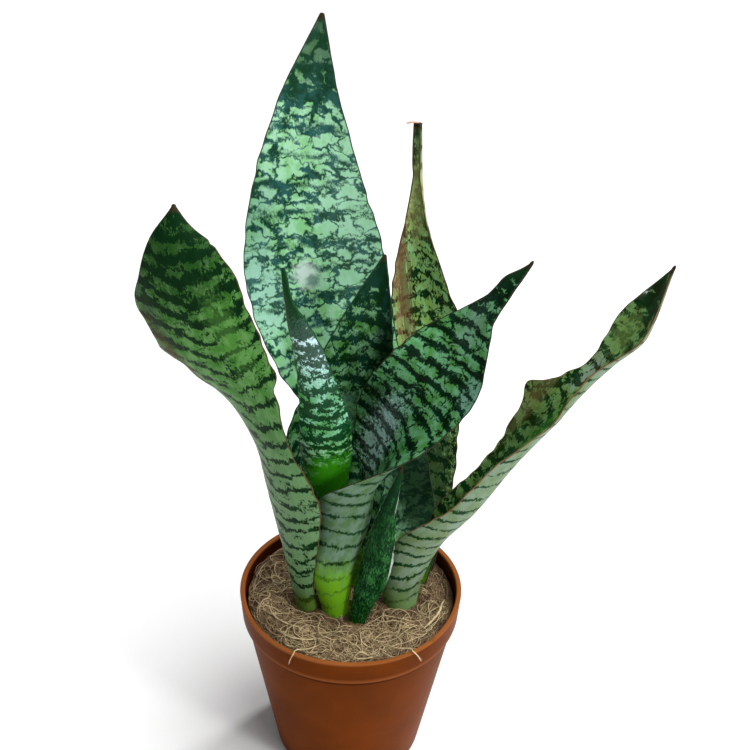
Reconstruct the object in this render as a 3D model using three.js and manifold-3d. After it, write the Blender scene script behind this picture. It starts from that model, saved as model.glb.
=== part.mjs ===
// A potted snake plant: a tapered plastic nursery pot, a plug of coir potting mix with loose strands
// on it, a buried rhizome, eight banded leaves in two fans, and a dry scale at the foot of one fan.
// Units are millimetres, +Z is up, and the origin is the middle of the pot's flat base.
import * as THREE from "three";
import { mergeVertices } from "three/addons/utils/BufferGeometryUtils.js";
import Module from "manifold-3d";

const wasm = await Module();
wasm.setup();

const degrees = Math.PI / 180;
const clearance = 0.6; // gap between neighbouring solids

// ---- driving dimensions of the pot ----
const rimRadius = 55;
const potHeight = 98;
const collarHeight = 13; // the thick band below the lip
const collarDraft = 0.8; // the collar is this much narrower at its lower edge
const collarStep = 1.6; // how far the collar stands out from the wall below it
const baseRadius = 38;
const wall = 1.4;
const lipWidth = 2.4;
const baseThickness = 1.8;
const drainHoleRadius = 3.5;
const drainHoleCount = 8;
const drainCircleRadius = 28;
const potSides = 64;

// ---- driving dimensions of the mix and what lies in it ----
const mixTop = potHeight - 6;
const mixRoughness = 0.9; // height of the lumps on top of the mix
const mixSlope = 0.022; // the mix rises towards the front left
const mixRings = 9;
const mixSides = 40;
const strandLift = 0.8; // keeps a strand clear of the lumps under it
const rhizomeRadius = 6;
const rhizomeDepth = 20; // from the top of the mix down to the rhizome's middle

// ---- how finely the leaves are drawn ----
const leafSteps = 22; // facets from foot to tip
const halfSteps = 3; // facets from the midrib to one margin
const marginThickness = 0.9;

const collarBottom = potHeight - collarHeight;
const collarBottomRadius = rimRadius - collarDraft;
const wallTopRadius = collarBottomRadius - collarStep;
const mouthRadius = rimRadius - lipWidth;
const rhizomeHeight = mixTop - rhizomeDepth;

function solidFrom(geometry) {
  const bare = geometry.clone();
  bare.deleteAttribute("normal");
  bare.deleteAttribute("uv");
  const merged = mergeVertices(bare, 1e-4);
  return new wasm.Manifold(
    new wasm.Mesh({
      numProp: 3,
      vertProperties: merged.attributes.position.array,
      triVerts: new Uint32Array(merged.index.array),
    }),
  );
}

// The largest body of a solid as a geometry, so that crumbs left by a cut are dropped.
function geometryFrom(solid) {
  const bodies = solid.decompose();
  bodies.sort((a, b) => b.volume() - a.volume());
  const { numProp, numVert, vertProperties, triVerts } = bodies[0].getMesh();
  const positions = new Float32Array(numVert * 3);
  for (let i = 0; i < numVert; i++) {
    positions.set(vertProperties.subarray(i * numProp, i * numProp + 3), i * 3);
  }
  const geometry = new THREE.BufferGeometry();
  geometry.setAttribute("position", new THREE.BufferAttribute(positions, 3));
  geometry.setIndex(new THREE.BufferAttribute(new Uint32Array(triVerts), 1));
  geometry.computeVertexNormals();
  return geometry;
}

// Turns an outline of [radius, height] points about the pot's axis.
function turned(outline, sides) {
  const profile = outline.map(([radius, height]) => new THREE.Vector2(radius, height));
  return new THREE.LatheGeometry(profile, sides).rotateX(Math.PI / 2);
}

// A round bar along a smooth curve through the points.
function barAlong(points, radius, steps, cornerSegments) {
  const curve = new THREE.CatmullRomCurve3(points.map((p) => new THREE.Vector3(...p)));
  const section = new THREE.Shape().absarc(0, 0, radius, 0, 2 * Math.PI);
  return new THREE.ExtrudeGeometry(section, {
    extrudePath: curve,
    steps,
    curveSegments: cornerSegments,
    bevelEnabled: false,
  });
}

// Value at t from 0 to 1 on a smooth curve through a list of evenly spaced values.
function through(values, t) {
  const last = values.length - 1;
  const place = Math.min(Math.max(t, 0), 1) * last;
  const i = Math.min(Math.floor(place), last - 1);
  const f = place - i;
  const a = values[i];
  const b = values[i + 1];
  const slopeA = i > 0 ? (b - values[i - 1]) / 2 : b - a;
  const slopeB = i + 2 <= last ? (values[i + 2] - a) / 2 : b - a;
  const bend = 3 * (b - a) - 2 * slopeA - slopeB;
  const ease = slopeA + slopeB - 2 * (b - a);
  return a + f * (slopeA + f * (bend + f * ease));
}

// ---- leaves ----
// One plan per leaf. Every list runs from the foot, inside the mix, to the tip.
// spine: points that the midrib passes through, as [x, y, z]
// left, right: distance over the blade from midrib to margin, seen from the inner face
// faces: compass direction that the inner face looks, 0 is +X and 90 is +Y
// cup: degrees of arc that the cross-section bends round its inner face
// ruffle: [height, waves, phase] of the left and the right margin
// thickness: through the middle of the blade
const leafPlans = {
  leaf_tall: {
    spine: [
      [28, 12, 79], [28, 17, 122], [10, 27, 171], [-13, 38, 223], [-24, 43, 278], [-24, 44, 327],
      [-18, 41, 370],
    ],
    left: [8, 12, 15, 22, 31, 32.5, 23.5, 13, 0.8],
    right: [8, 14, 20, 26, 30, 33, 26.5, 14.5, 0.8],
    faces: [285, 280, 272, 268],
    cup: [120, 80, 45, 36, 40, 60],
    ruffle: [[1, 2.5, 0.1], [1, 2.2, 0.6]],
    thickness: 3,
  },
  leaf_left: {
    spine: [
      [-20, -10, 79], [-25, -13, 118], [-33, -18, 171], [-45, -20, 217], [-64, -21, 256],
      [-74, -16, 286], [-75, -8, 304],
    ],
    left: [7, 6, 13, 18, 15, 16, 21, 20, 0.8],
    right: [8, 11, 16, 20, 26, 30.5, 31, 22, 0.8],
    faces: [75, 55, 45, 75, 90],
    cup: [100, 100, 75, 60, 50, 50],
    ruffle: [[1.6, 2.6, 0.3], [1.6, 3.1, 0.8]],
    thickness: 3,
  },
  leaf_young: {
    spine: [
      [-9, -1, 79], [-11, -3, 122], [-12, -10, 168], [-13, -27, 216], [-18, -37, 255],
      [-25, -43, 282], [-28, -44, 296],
    ],
    left: [4, 5.5, 8, 12, 12, 8, 3.5, 0.6],
    right: [4, 5.5, 8, 12, 12, 9.5, 7, 0.6],
    faces: [100, 95, 90, 85],
    cup: [140, 110, 80, 70, 70],
    ruffle: [[0.5, 2, 0.3], [0.5, 2, 0.8]],
    thickness: 2.6,
  },
  leaf_centre: {
    spine: [[-7, 8, 79], [-6, 13, 127], [-4, 18, 175], [1, 19, 219], [11, 16, 273]],
    left: [8, 16, 29, 34, 23.5, 13, 0.8],
    right: [8, 14, 20, 22, 19.5, 12, 0.8],
    faces: [270, 270, 265],
    cup: [120, 90, 90, 70],
    ruffle: [[0.8, 2, 0.3], [0.8, 2, 0.8]],
    thickness: 2.8,
  },
  leaf_front: {
    spine: [
      [-5, -15, 79], [-4, -14, 118], [1, -12, 143], [9, -11, 167], [21, -9, 189], [34, -8, 208],
      [46, -7, 229], [57, -8, 256], [71, -10, 284],
    ],
    left: [5, 11, 18, 24, 32, 33, 27, 10, 0.6],
    right: [6, 14.5, 21, 24, 21, 16, 11, 2.2, 0.6],
    faces: [115, 128, 124, 169, 201, 231, 217, 217],
    cup: [180, 175, 165, 120, 79, 38, 62],
    ruffle: [[1, 2, 0.3], [1, 2, 0.8]],
    thickness: 3,
  },
  leaf_rear: {
    spine: [
      [33, 24, 79], [36, 31, 121], [36, 37, 169], [32, 42, 220], [27, 47, 261], [25, 50, 289],
      [24, 52, 321],
    ],
    left: [8, 12, 15, 16, 17, 13, 4.2, 2.6],
    right: [8, 12, 15, 16, 18, 15.5, 6, 3.4],
    faces: [265, 260, 250],
    cup: [130, 100, 70, 60, 90, 160, 220],
    ruffle: [[0.8, 2, 0.3], [0.8, 2, 0.8]],
    thickness: 2.6,
  },
  leaf_right: {
    spine: [
      [27, -7, 79], [32, -6, 108], [43, -4, 133], [61, -3, 160], [77, -1, 185], [94, 1, 209],
      [110, 5, 229], [125, 8, 249], [135, 10, 274],
    ],
    left: [3.5, 10.5, 16, 13.5, 15.5, 19, 7, 11.5, 0.8],
    right: [11.5, 19, 24, 23.5, 20.5, 15, 14.5, 16.5, 0.8],
    faces: [115, 149, 181, 180, 187, 199, 195],
    cup: [140, 168, 112, 111, 72],
    ruffle: [[0.8, 3, 0.3], [0.8, 3, 0.8]],
    thickness: 3,
  },
  leaf_small: {
    spine: [[0, -20, 79], [5, -20, 100], [11, -18, 120], [16, -15, 150], [22, -12, 180]],
    left: [3.5, 6, 9, 7, 4, 0.6],
    right: [3.5, 6, 9, 7, 4, 0.6],
    faces: [70, 90, 110],
    cup: [150, 110, 90],
    ruffle: [[0.3, 2, 0.3], [0.3, 2, 0.8]],
    thickness: 2.4,
  },
};

const dryScalePlan = {
  spine: [[-4.8, -20, 84], [-4.6, -20.2, 90], [-4.2, -20.8, 97]],
  left: [1.5, 1.7, 1.4, 0.5],
  right: [1.5, 1.7, 1.4, 0.5],
  faces: [95, 95],
  cup: [50, 70],
  ruffle: [[0, 0, 0], [0, 0, 0]],
  thickness: 1.1,
  steps: 5,
};

// The midrib of a plan as a curve that is divided evenly along its length.
function midribOf(plan) {
  const points = plan.spine.map((p) => new THREE.Vector3(...p));
  return new THREE.CatmullRomCurve3(points, false, "catmullrom", 0.5);
}

// A point of the leaf: u from foot to tip, v from the left margin at -1 to the right one at 1,
// and offset out of the inner face.
function leafPoint(plan, midrib, u, v, offset) {
  const centre = midrib.getPointAt(u);
  const along = midrib.getTangentAt(u);
  const faces = through(plan.faces, u) * degrees;
  const left = through(plan.left, u);
  const right = through(plan.right, u);
  const look = new THREE.Vector3(Math.cos(faces), Math.sin(faces), 0);
  const inward = look.addScaledVector(along, -look.dot(along)).normalize();
  const across = new THREE.Vector3().crossVectors(along, inward);
  const radius = (left + right) / (through(plan.cup, u) * degrees);
  const turn = (v * (v < 0 ? left : right)) / radius;
  const [height, waves, phase] = plan.ruffle[v < 0 ? 0 : 1];
  const fade = Math.sin(Math.PI * u) ** 2;
  const ruffle = height * fade * v * v * Math.sin(2 * Math.PI * (waves * u + phase));
  return centre
    .addScaledVector(across, (radius - offset) * Math.sin(turn))
    .addScaledVector(inward, radius - (radius - offset) * Math.cos(turn) + ruffle);
}

// Half the thickness: most at the foot and along the midrib, least at the margins and the tip.
function halfThickness(plan, u, v) {
  const middle = plan.thickness * (1 + 0.5 * (1 - u) ** 4) * (1 - 0.55 * u ** 4);
  const share = 1 - Math.abs(v) ** 2.2;
  return (marginThickness + (middle - marginThickness) * share) / 2;
}

// A closed leaf made of rings that run over the inner face and back under the outer face.
// grow makes it larger on every side, for the hole that it fills.
function leafGeometry(plan, grow = 0) {
  const midrib = midribOf(plan);
  const steps = plan.steps ?? leafSteps;
  const acrossCount = 2 * halfSteps + 1;
  const ringSize = 2 * acrossCount;
  const points = [];
  for (let i = 0; i <= steps; i++) {
    const u = i / steps;
    const halfWidth = (through(plan.left, u) + through(plan.right, u)) / 2;
    for (let j = 0; j < ringSize; j++) {
      const inner = j < acrossCount;
      const k = inner ? j : ringSize - 1 - j;
      const v = k / halfSteps - 1;
      const half = halfThickness(plan, u, v) + grow;
      const reach = v * (1 + grow / halfWidth);
      const point = leafPoint(plan, midrib, u, reach, inner ? half : -half);
      if (i === 0) point.z -= grow;
      points.push(point);
    }
  }
  const indices = [];
  for (let i = 0; i < steps; i++) {
    for (let j = 0; j < ringSize; j++) {
      const a = i * ringSize + j;
      const b = i * ringSize + ((j + 1) % ringSize);
      indices.push(a, b, a + ringSize, b, b + ringSize, a + ringSize);
    }
  }
  const tip = steps * ringSize;
  for (let k = 0; k < acrossCount - 1; k++) {
    const back = ringSize - 1 - k;
    indices.push(k + 1, k, back, k + 1, back, back - 1);
    indices.push(tip + k, tip + k + 1, tip + back);
    indices.push(tip + k + 1, tip + back - 1, tip + back);
  }
  const geometry = new THREE.BufferGeometry().setFromPoints(points);
  geometry.setIndex(indices);
  geometry.computeVertexNormals();
  return geometry;
}

// ---- pot ----
function potGeometry() {
  const shell = solidFrom(
    turned(
      [
        [0, 0],
        [baseRadius - 1, 0],
        [baseRadius, 1],
        [wallTopRadius, collarBottom],
        [collarBottomRadius, collarBottom + 0.6],
        [rimRadius, potHeight - 1],
        [rimRadius - 0.6, potHeight],
        [mouthRadius + 0.6, potHeight],
        [mouthRadius, potHeight - 1],
        [mouthRadius - 0.3, collarBottom + 2],
        [wallTopRadius - wall, collarBottom],
        [baseRadius - wall, baseThickness],
        [0, baseThickness],
      ],
      potSides,
    ),
  );
  const drill = new THREE.CylinderGeometry(drainHoleRadius, drainHoleRadius, 3 * baseThickness, 16);
  drill.rotateX(Math.PI / 2);
  const holes = [];
  for (let i = 0; i < drainHoleCount; i++) {
    const angle = (2 * Math.PI * (i + 0.5)) / drainHoleCount;
    const x = drainCircleRadius * Math.cos(angle);
    const y = drainCircleRadius * Math.sin(angle);
    holes.push(solidFrom(drill.clone().translate(x, y, baseThickness / 2)));
  }
  return geometryFrom(wasm.Manifold.difference([shell, ...holes]));
}

// ---- mix and rhizome ----
function mixHeight(x, y) {
  const lumps =
    Math.sin(0.21 * x + 1.1) * Math.cos(0.19 * y - 0.4) +
    0.6 * Math.sin(0.34 * x - 0.27 * y + 2) * Math.cos(0.12 * x + 0.3 * y);
  return mixTop + mixRoughness * lumps - mixSlope * (x + y);
}

function rhizomeSolid(grow) {
  const radius = rhizomeRadius + grow;
  const runs = [
    [[-19, -9], [-5, -8], [11, -7], [25, -3], [30, 9], [32, 22]],
    [[-8, -7], [-7, 0], [-7, 7]],
    [[1, -8], [2, -13], [3, -18]],
  ];
  const pieces = [];
  for (const run of runs) {
    const points = run.map(([x, y]) => [x, y, rhizomeHeight]);
    pieces.push(solidFrom(barAlong(points, radius, 2 * (run.length - 1), 4)));
    for (const [x, y] of [run[0], run[run.length - 1]]) {
      const end = new THREE.SphereGeometry(radius, 8, 6);
      pieces.push(solidFrom(end.translate(x, y, rhizomeHeight)));
    }
  }
  return wasm.Manifold.union(pieces);
}

function mixGeometry() {
  const floor = baseThickness + clearance;
  const outline = [
    [0, floor],
    [baseRadius - wall - 2 * clearance, floor],
    [wallTopRadius - wall - clearance, collarBottom],
    [mouthRadius - 0.3 - clearance, collarBottom + 2 + clearance],
  ];
  for (let ring = mixRings; ring >= 0; ring--) {
    outline.push([((mouthRadius - 0.3 - clearance) * ring) / mixRings, mixTop]);
  }
  const plug = turned(outline, mixSides);
  const position = plug.attributes.position;
  for (let i = 0; i < position.count; i++) {
    if (position.getZ(i) > mixTop - 0.01) {
      position.setZ(i, mixHeight(position.getX(i), position.getY(i)));
    }
  }
  const hollows = [rhizomeSolid(clearance)];
  for (const plan of [...Object.values(leafPlans), dryScalePlan]) {
    hollows.push(solidFrom(leafGeometry(plan, clearance)));
  }
  return geometryFrom(wasm.Manifold.difference([solidFrom(plug), ...hollows]));
}

// ---- loose coir strands ----
// Each lies on the mix; the third number lifts it off the mix.
const strandPlans = {
  strand_front: { radius: 0.5, path: [[-4, -43, 0], [6, -46, 0.6], [17, -44, 0]] },
  strand_left: { radius: 0.45, path: [[-42, -8, 0], [-36, -22, 1.4], [-26, -28, 0.4], [-14, -31, 0]] },
  strand_curl: { radius: 0.4, path: [[-36, -28, 0], [-27, -36, 1.2], [-16, -35, 0.8], [-9, -30, 0]] },
  strand_right: { radius: 0.7, path: [[36, -24, 0], [43, -16, 1.5], [46, -6, 2.6]] },
  strand_back: { radius: 0.4, path: [[-36, 16, 0], [-26, 27, 1], [-12, 31, 0]] },
};

function strandGeometry({ radius, path }) {
  const points = path.map(([x, y, lift]) => [x, y, mixHeight(x, y) + radius + strandLift + lift]);
  return barAlong(points, radius, 12, 3);
}

// Two strands climb out over the lip. turn is the compass direction where they cross it.
const overRimPlans = {
  strand_over_rim_right: { radius: 0.5, turn: -56, from: -66, to: -52 },
  strand_over_rim_left: { radius: 0.45, turn: -117, from: -108, to: -119 },
};

function overRimGeometry({ radius, turn, from, to }) {
  const lift = radius + clearance;
  const spot = (distance, heading, height) => [
    distance * Math.cos(heading * degrees),
    distance * Math.sin(heading * degrees),
    height,
  ];
  return barAlong(
    [
      spot(mouthRadius - 12, from, mixTop + lift + 2.2),
      spot(mouthRadius - 5, (from + turn) / 2, mixTop + lift + 4.5),
      spot(mouthRadius, turn, potHeight + lift + 0.4),
      spot(rimRadius, turn, potHeight + lift + 0.3),
      spot(rimRadius + lift + 0.6, (turn + to) / 2, potHeight - 2),
      spot(rimRadius + lift + 0.6, to, potHeight - 6),
    ],
    radius,
    16,
    3,
  );
}

// ---- assembly ----
function material(color, roughness) {
  return new THREE.MeshStandardMaterial({ color, roughness, metalness: 0 });
}

const leafColours = {
  leaf_tall: 0x5f9a6a,
  leaf_left: 0x3f7440,
  leaf_young: 0x4c8a52,
  leaf_centre: 0x2c5a3a,
  leaf_front: 0x356b3e,
  leaf_rear: 0x6b8f4e,
  leaf_right: 0x6f8f62,
  leaf_small: 0x1f4a30,
};

const plant = new THREE.Group();

function add(name, geometry, surface) {
  const mesh = new THREE.Mesh(geometry, surface);
  mesh.name = name;
  plant.add(mesh);
}

add("pot", potGeometry(), material(0xa9552b, 0.45));
add("potting_mix", mixGeometry(), material(0x6e5038, 0.95));
add("rhizome", geometryFrom(rhizomeSolid(0)), material(0xc08a4a, 0.7));
for (const [name, plan] of Object.entries(leafPlans)) {
  add(name, leafGeometry(plan), material(leafColours[name], 0.38));
}
add("dry_scale", leafGeometry(dryScalePlan), material(0x8a7560, 0.85));
for (const [name, plan] of Object.entries(strandPlans)) {
  add(name, strandGeometry(plan), material(0xb08d62, 0.9));
}
for (const [name, plan] of Object.entries(overRimPlans)) {
  add(name, overRimGeometry(plan), material(0xb99a78, 0.9));
}

export default plant;
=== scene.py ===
import math

import bmesh
import bpy
import numpy as np
from mathutils import Matrix, Vector, noise


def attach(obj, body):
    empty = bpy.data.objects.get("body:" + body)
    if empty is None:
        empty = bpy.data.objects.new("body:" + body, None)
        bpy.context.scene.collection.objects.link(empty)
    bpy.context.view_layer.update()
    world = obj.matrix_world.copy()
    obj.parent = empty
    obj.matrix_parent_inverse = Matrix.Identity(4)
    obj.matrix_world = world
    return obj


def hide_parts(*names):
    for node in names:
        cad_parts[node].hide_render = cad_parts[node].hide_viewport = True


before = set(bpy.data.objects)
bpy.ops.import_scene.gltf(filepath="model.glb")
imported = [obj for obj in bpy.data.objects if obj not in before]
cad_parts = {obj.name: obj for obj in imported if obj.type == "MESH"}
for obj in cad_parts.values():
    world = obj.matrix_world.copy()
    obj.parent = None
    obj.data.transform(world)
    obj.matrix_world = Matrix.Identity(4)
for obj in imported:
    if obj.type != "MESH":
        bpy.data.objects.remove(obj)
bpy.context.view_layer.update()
print("stage: frame loaded,", len(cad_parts), "CAD nodes")

mm = 0.001  # every shape below is worked out in millimetres and written in metres
chance = np.random.default_rng(41)

view = {
    "place": (0.0085, -0.4536, 0.5046),
    "down": 31.9,  # degrees below level
    "roll": 1.9,
    "lens": 57.6,
}


def makeCamera():
    data = bpy.data.cameras.new("camera")
    data.lens = view["lens"]
    data.sensor_width = 36
    data.clip_start = 0.01
    camera = bpy.data.objects.new("camera", data)
    bpy.context.collection.objects.link(camera)
    tilt = Matrix.Rotation(math.radians(90 - view["down"]), 4, "X")
    roll = Matrix.Rotation(math.radians(view["roll"]), 4, "Z")
    camera.matrix_world = Matrix.Translation(view["place"]) @ tilt @ roll
    bpy.context.scene.camera = camera


makeCamera()

studio = {
    "sky": (0.93, 0.97, 1.0),
    "skyStrength": 0.22,
    "ceiling": {"from": (0.4, -0.1, 1.0), "spread": 50, "strength": 2.75},
    "aim": (0, 0, 0.2),
    "softboxes": [
        # name, place, size, watts
        ["window", (0.6, 0.9, 1.2), 0.2, 9],
        ["right", (1.1, -0.9, 0.9), 0.25, 8],
    ],
}


def addLight(name, kind, energy, aim):
    data = bpy.data.lights.new(name, kind)
    data.energy = energy
    light = bpy.data.objects.new(name, data)
    light.rotation_euler = aim.to_track_quat("-Z", "Y").to_euler()
    bpy.context.collection.objects.link(light)
    return light


def makeLights():
    world = bpy.data.worlds.new("studio")
    world.use_nodes = True
    backdrop = world.node_tree.nodes["Background"]
    backdrop.inputs["Color"].default_value = (*studio["sky"], 1)
    backdrop.inputs["Strength"].default_value = studio["skyStrength"]
    bpy.context.scene.world = world
    ceiling = studio["ceiling"]
    light = addLight("ceiling", "SUN", ceiling["strength"], -Vector(ceiling["from"]))
    light.data.angle = math.radians(ceiling["spread"])
    for name, place, size, watts in studio["softboxes"]:
        light = addLight(name, "AREA", watts, Vector(studio["aim"]) - Vector(place))
        light.data.shape = "SQUARE"
        light.data.size = size
        light.location = place


makeLights()
bpy.context.scene.view_settings.view_transform = "Standard"


def colour(code):
    # "#rrggbb" as linear light
    channels = [int(code[i : i + 2], 16) / 255 for i in (1, 3, 5)]
    return tuple(c / 12.92 if c <= 0.04045 else ((c + 0.055) / 1.055) ** 2.4 for c in channels) + (1,)


def addNode(tree, kind, inputs=None, **settings):
    # an input is a socket to link from, a value, or a colour as "#rrggbb"
    node = tree.nodes.new(kind)
    for key, value in settings.items():
        setattr(node, key, value)
    for key, value in (inputs or {}).items():
        if isinstance(value, bpy.types.NodeSocket):
            tree.links.new(value, node.inputs[key])
        else:
            node.inputs[key].default_value = colour(value) if isinstance(value, str) else value
    return node


def calc(tree, operation, *values):
    return addNode(tree, "ShaderNodeMath", dict(enumerate(values)), operation=operation).outputs[0]


def plus(tree, first, *more):
    for value in more:
        first = calc(tree, "ADD", first, value)
    return first


def times(tree, first, *more):
    for value in more:
        first = calc(tree, "MULTIPLY", first, value)
    return first


def minus(tree, first, second):
    return calc(tree, "SUBTRACT", first, second)


def over(tree, first, second):
    return calc(tree, "DIVIDE", first, second)


def vector(tree, x, y, z=0.0):
    return addNode(tree, "ShaderNodeCombineXYZ", {"X": x, "Y": y, "Z": z}).outputs[0]


def noiseAt(tree, place, scale=1.0, detail=2.0, roughness=0.5, distortion=0.0):
    inputs = {
        "Vector": place,
        "Scale": scale,
        "Detail": detail,
        "Roughness": roughness,
        "Distortion": distortion,
    }
    return addNode(tree, "ShaderNodeTexNoise", inputs).outputs["Fac"]


def ease(tree, value, low, high):
    # 0 at low, 1 at high, smooth between
    inputs = {"Value": value, "From Min": low, "From Max": high}
    return addNode(tree, "ShaderNodeMapRange", inputs, interpolation_type="SMOOTHSTEP").outputs[0]


def between(tree, value, low, full, still, end):
    # 0 below low, 1 from full to still, 0 above end
    return times(tree, ease(tree, value, low, full), ease(tree, value, end, still))


def blendColour(tree, factor, first, second):
    # 0, 6 and 7 are the factor and the two colours of a Mix node
    inputs = {0: factor, 6: first, 7: second}
    return addNode(tree, "ShaderNodeMix", inputs, data_type="RGBA").outputs[2]


def tinted(tree, base, mask, amount, tint):
    # the tint laid over the base where the mask is, at most by the amount
    return blendColour(tree, times(tree, mask, amount), base, tint)


def attribute(tree, name):
    return addNode(tree, "ShaderNodeAttribute", attribute_name=name).outputs["Fac"]


def objectPlace(tree):
    return addNode(tree, "ShaderNodeTexCoord").outputs["Object"]


def newGroup(name, inputs, outputs):
    # an input with no value is a vector, the others are numbers
    group = bpy.data.node_groups.new(name, "ShaderNodeTree")
    for label, value in inputs.items():
        kind = "NodeSocketVector" if value is None else "NodeSocketFloat"
        socket = group.interface.new_socket(name=label, in_out="INPUT", socket_type=kind)
        if value is not None:
            socket.default_value = value
    for label in outputs:
        group.interface.new_socket(name=label, in_out="OUTPUT", socket_type="NodeSocketFloat")
    return group, addNode(group, "NodeGroupInput").outputs, addNode(group, "NodeGroupOutput").inputs


def useGroup(tree, group, inputs):
    return addNode(tree, "ShaderNodeGroup", inputs, node_tree=group).outputs


def newMaterial(name):
    material = bpy.data.materials.new(name)
    material.use_nodes = True
    tree = material.node_tree
    return material, tree, tree.nodes["Principled BSDF"]


def wireSkin(tree, shader, body, rough, relief, strength, depth):
    # colour, roughness and fine relief into the shader, depth in millimetres
    tree.links.new(body, shader.inputs["Base Color"])
    tree.links.new(rough, shader.inputs["Roughness"])
    inputs = {"Height": relief, "Strength": strength, "Distance": depth * mm}
    bump = addNode(tree, "ShaderNodeBump", inputs)
    tree.links.new(bump.outputs[0], shader.inputs["Normal"])


def leafBandsGroup():
    # dark bands across a leaf and a net of dark lines between its light clouds, both with torn edges
    inputs = {
        "Across": 0,
        "Along": 0,
        "Spacing": 10,
        "Share": 0.4,
        "Teeth": 2.5,
        "Wander": 4,
        "Slant left": 0,
        "Slant right": 0,
        "Patches": 0.8,
        "Net": 0.5,
        "Soft": 0.08,
        "Cloud width": 8,
        "Cloud height": 6.5,
        "Seed": 0,
    }
    group, get, put = newGroup("leafBands", inputs, ["Bands", "Tone"])
    across, along, seed = get["Across"], get["Along"], get["Seed"]

    def field(width, length, shift, detail, rough=0.55):
        # uneven tone in blots of this width and length in millimetres, half above and half below 0
        x = over(group, across, width)
        y = over(group, along, length)
        place = vector(group, x, y, plus(group, seed, shift))
        return minus(group, noiseAt(group, place, 1, detail, rough), 0.5)

    wander = times(group, field(13, 16, 0.3, 2), get["Wander"])
    teeth = times(group, field(1.1, 4.5, 4.1, 3, 0.7), get["Teeth"])
    toLeft = times(group, calc(group, "MINIMUM", across, 0), get["Slant left"])
    toRight = times(group, calc(group, "MAXIMUM", across, 0), get["Slant right"])
    slant = minus(group, toRight, toLeft)
    height = plus(group, plus(group, along, wander), plus(group, teeth, slant))
    phase = plus(group, over(group, height, get["Spacing"]), seed)
    wave = times(group, calc(group, "PINGPONG", phase, 0.5), 2)
    wide, high = get["Cloud width"], get["Cloud height"]
    cellX = plus(group, over(group, across, wide), times(group, field(5, 5, 1.2, 2), 1.5))
    cellY = plus(group, over(group, height, high), times(group, field(4, 4, 6.2, 2), 1.2))
    cells = addNode(
        group, "ShaderNodeTexVoronoi", {"Vector": vector(group, cellX, cellY, seed), "Scale": 1},
        feature="DISTANCE_TO_EDGE", voronoi_dimensions="2D",
    )
    net = minus(group, get["Net"], times(group, cells.outputs["Distance"], 2.4))
    blots = field(times(group, wide, 0.75), times(group, high, 0.65), 7.7, 3)
    patches = times(group, blots, get["Patches"])
    grit = times(group, field(0.8, 1.8, 9.3, 2, 0.6), 0.4)
    level = plus(group, calc(group, "MAXIMUM", wave, net), plus(group, patches, grit))
    middle = minus(group, 1, get["Share"])
    start = minus(group, middle, get["Soft"])
    full = plus(group, middle, get["Soft"])
    group.links.new(ease(group, level, start, full), put["Bands"])
    tone = plus(group, field(4.5, 7, 2.9, 3), 0.5)
    group.links.new(ease(group, tone, 0.36, 0.64), put["Tone"])
    return group


def streaksGroup():
    # fine lines that run along a leaf
    inputs = {"Across": 0, "Along": 0, "Width": 0.5, "Seed": 0}
    group, get, put = newGroup("streaks", inputs, ["Streaks", "Height"])
    x = over(group, get["Across"], get["Width"])
    y = over(group, get["Along"], times(group, get["Width"], 22))
    lines = noiseAt(group, vector(group, x, y, get["Seed"]), 1, 3, 0.6)
    group.links.new(ease(group, lines, 0.35, 0.68), put["Streaks"])
    fine = vector(group, times(group, x, 2.3), times(group, y, 6), get["Seed"])
    group.links.new(plus(group, lines, noiseAt(group, fine, 1, 2, 0.6)), put["Height"])
    return group


def leafZonesGroup():
    # the fresh foot, the dark tip, the dry margin line and the horny point of a leaf
    inputs = {
        "Along": 0,
        "To tip": 0,
        "To edge": 0,
        "Across": 0,
        "Foot": 20,
        "Tip": 20,
        "Line": 0.5,
        "Seed": 0,
    }
    group, get, put = newGroup("leafZones", inputs, ["Foot", "Tip", "Line", "Point"])
    x = over(group, get["Across"], 2.2)
    y = over(group, get["Along"], 9)
    torn = noiseAt(group, vector(group, x, y, get["Seed"]), 1, 4, 0.62)
    torn = times(group, minus(group, torn, 0.5), 34)
    for label, value, soft in (
        ("Foot", plus(group, get["Along"], torn), 9),
        ("Tip", plus(group, get["To tip"], times(group, torn, 0.7)), 8),
    ):
        start = plus(group, get[label], soft)
        full = minus(group, get[label], soft)
        group.links.new(ease(group, value, start, full), put[label])
    spots = noiseAt(group, vector(group, 0, over(group, get["Along"], 3), get["Seed"]), 1, 3)
    reach = times(group, get["Line"], plus(group, spots, 0.5))
    group.links.new(ease(group, get["To edge"], reach, times(group, reach, 0.35)), put["Line"])
    group.links.new(ease(group, get["To tip"], 3.2, 0.8), put["Point"])
    return group


def zoneGroup():
    # a soft oval place on a blade, broken up by flecks
    inputs = {
        "Across": 0,
        "Along": 0,
        "Centre across": 0,
        "Centre along": 100,
        "Half width": 6,
        "Half length": 15,
        "Flecks": 0.5,
        "Fleck width": 1,
        "Fleck length": 1,
        "Seed": 0,
    }
    group, get, put = newGroup("zone", inputs, ["Zone"])
    x = over(group, minus(group, get["Across"], get["Centre across"]), get["Half width"])
    y = over(group, minus(group, get["Along"], get["Centre along"]), get["Half length"])
    oval = calc(group, "SQRT", plus(group, times(group, x, x), times(group, y, y)))
    fleckX = over(group, get["Across"], get["Fleck width"])
    fleckY = over(group, get["Along"], get["Fleck length"])
    flecks = noiseAt(group, vector(group, fleckX, fleckY, get["Seed"]), 1, 4, 0.7)
    broken = times(group, minus(group, flecks, 0.5), 5, get["Flecks"])
    full = minus(group, 0.75, times(group, get["Flecks"], 0.45))
    inside = plus(group, minus(group, 1, oval), broken)
    group.links.new(ease(group, inside, -0.1, full), put["Zone"])
    return group


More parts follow.
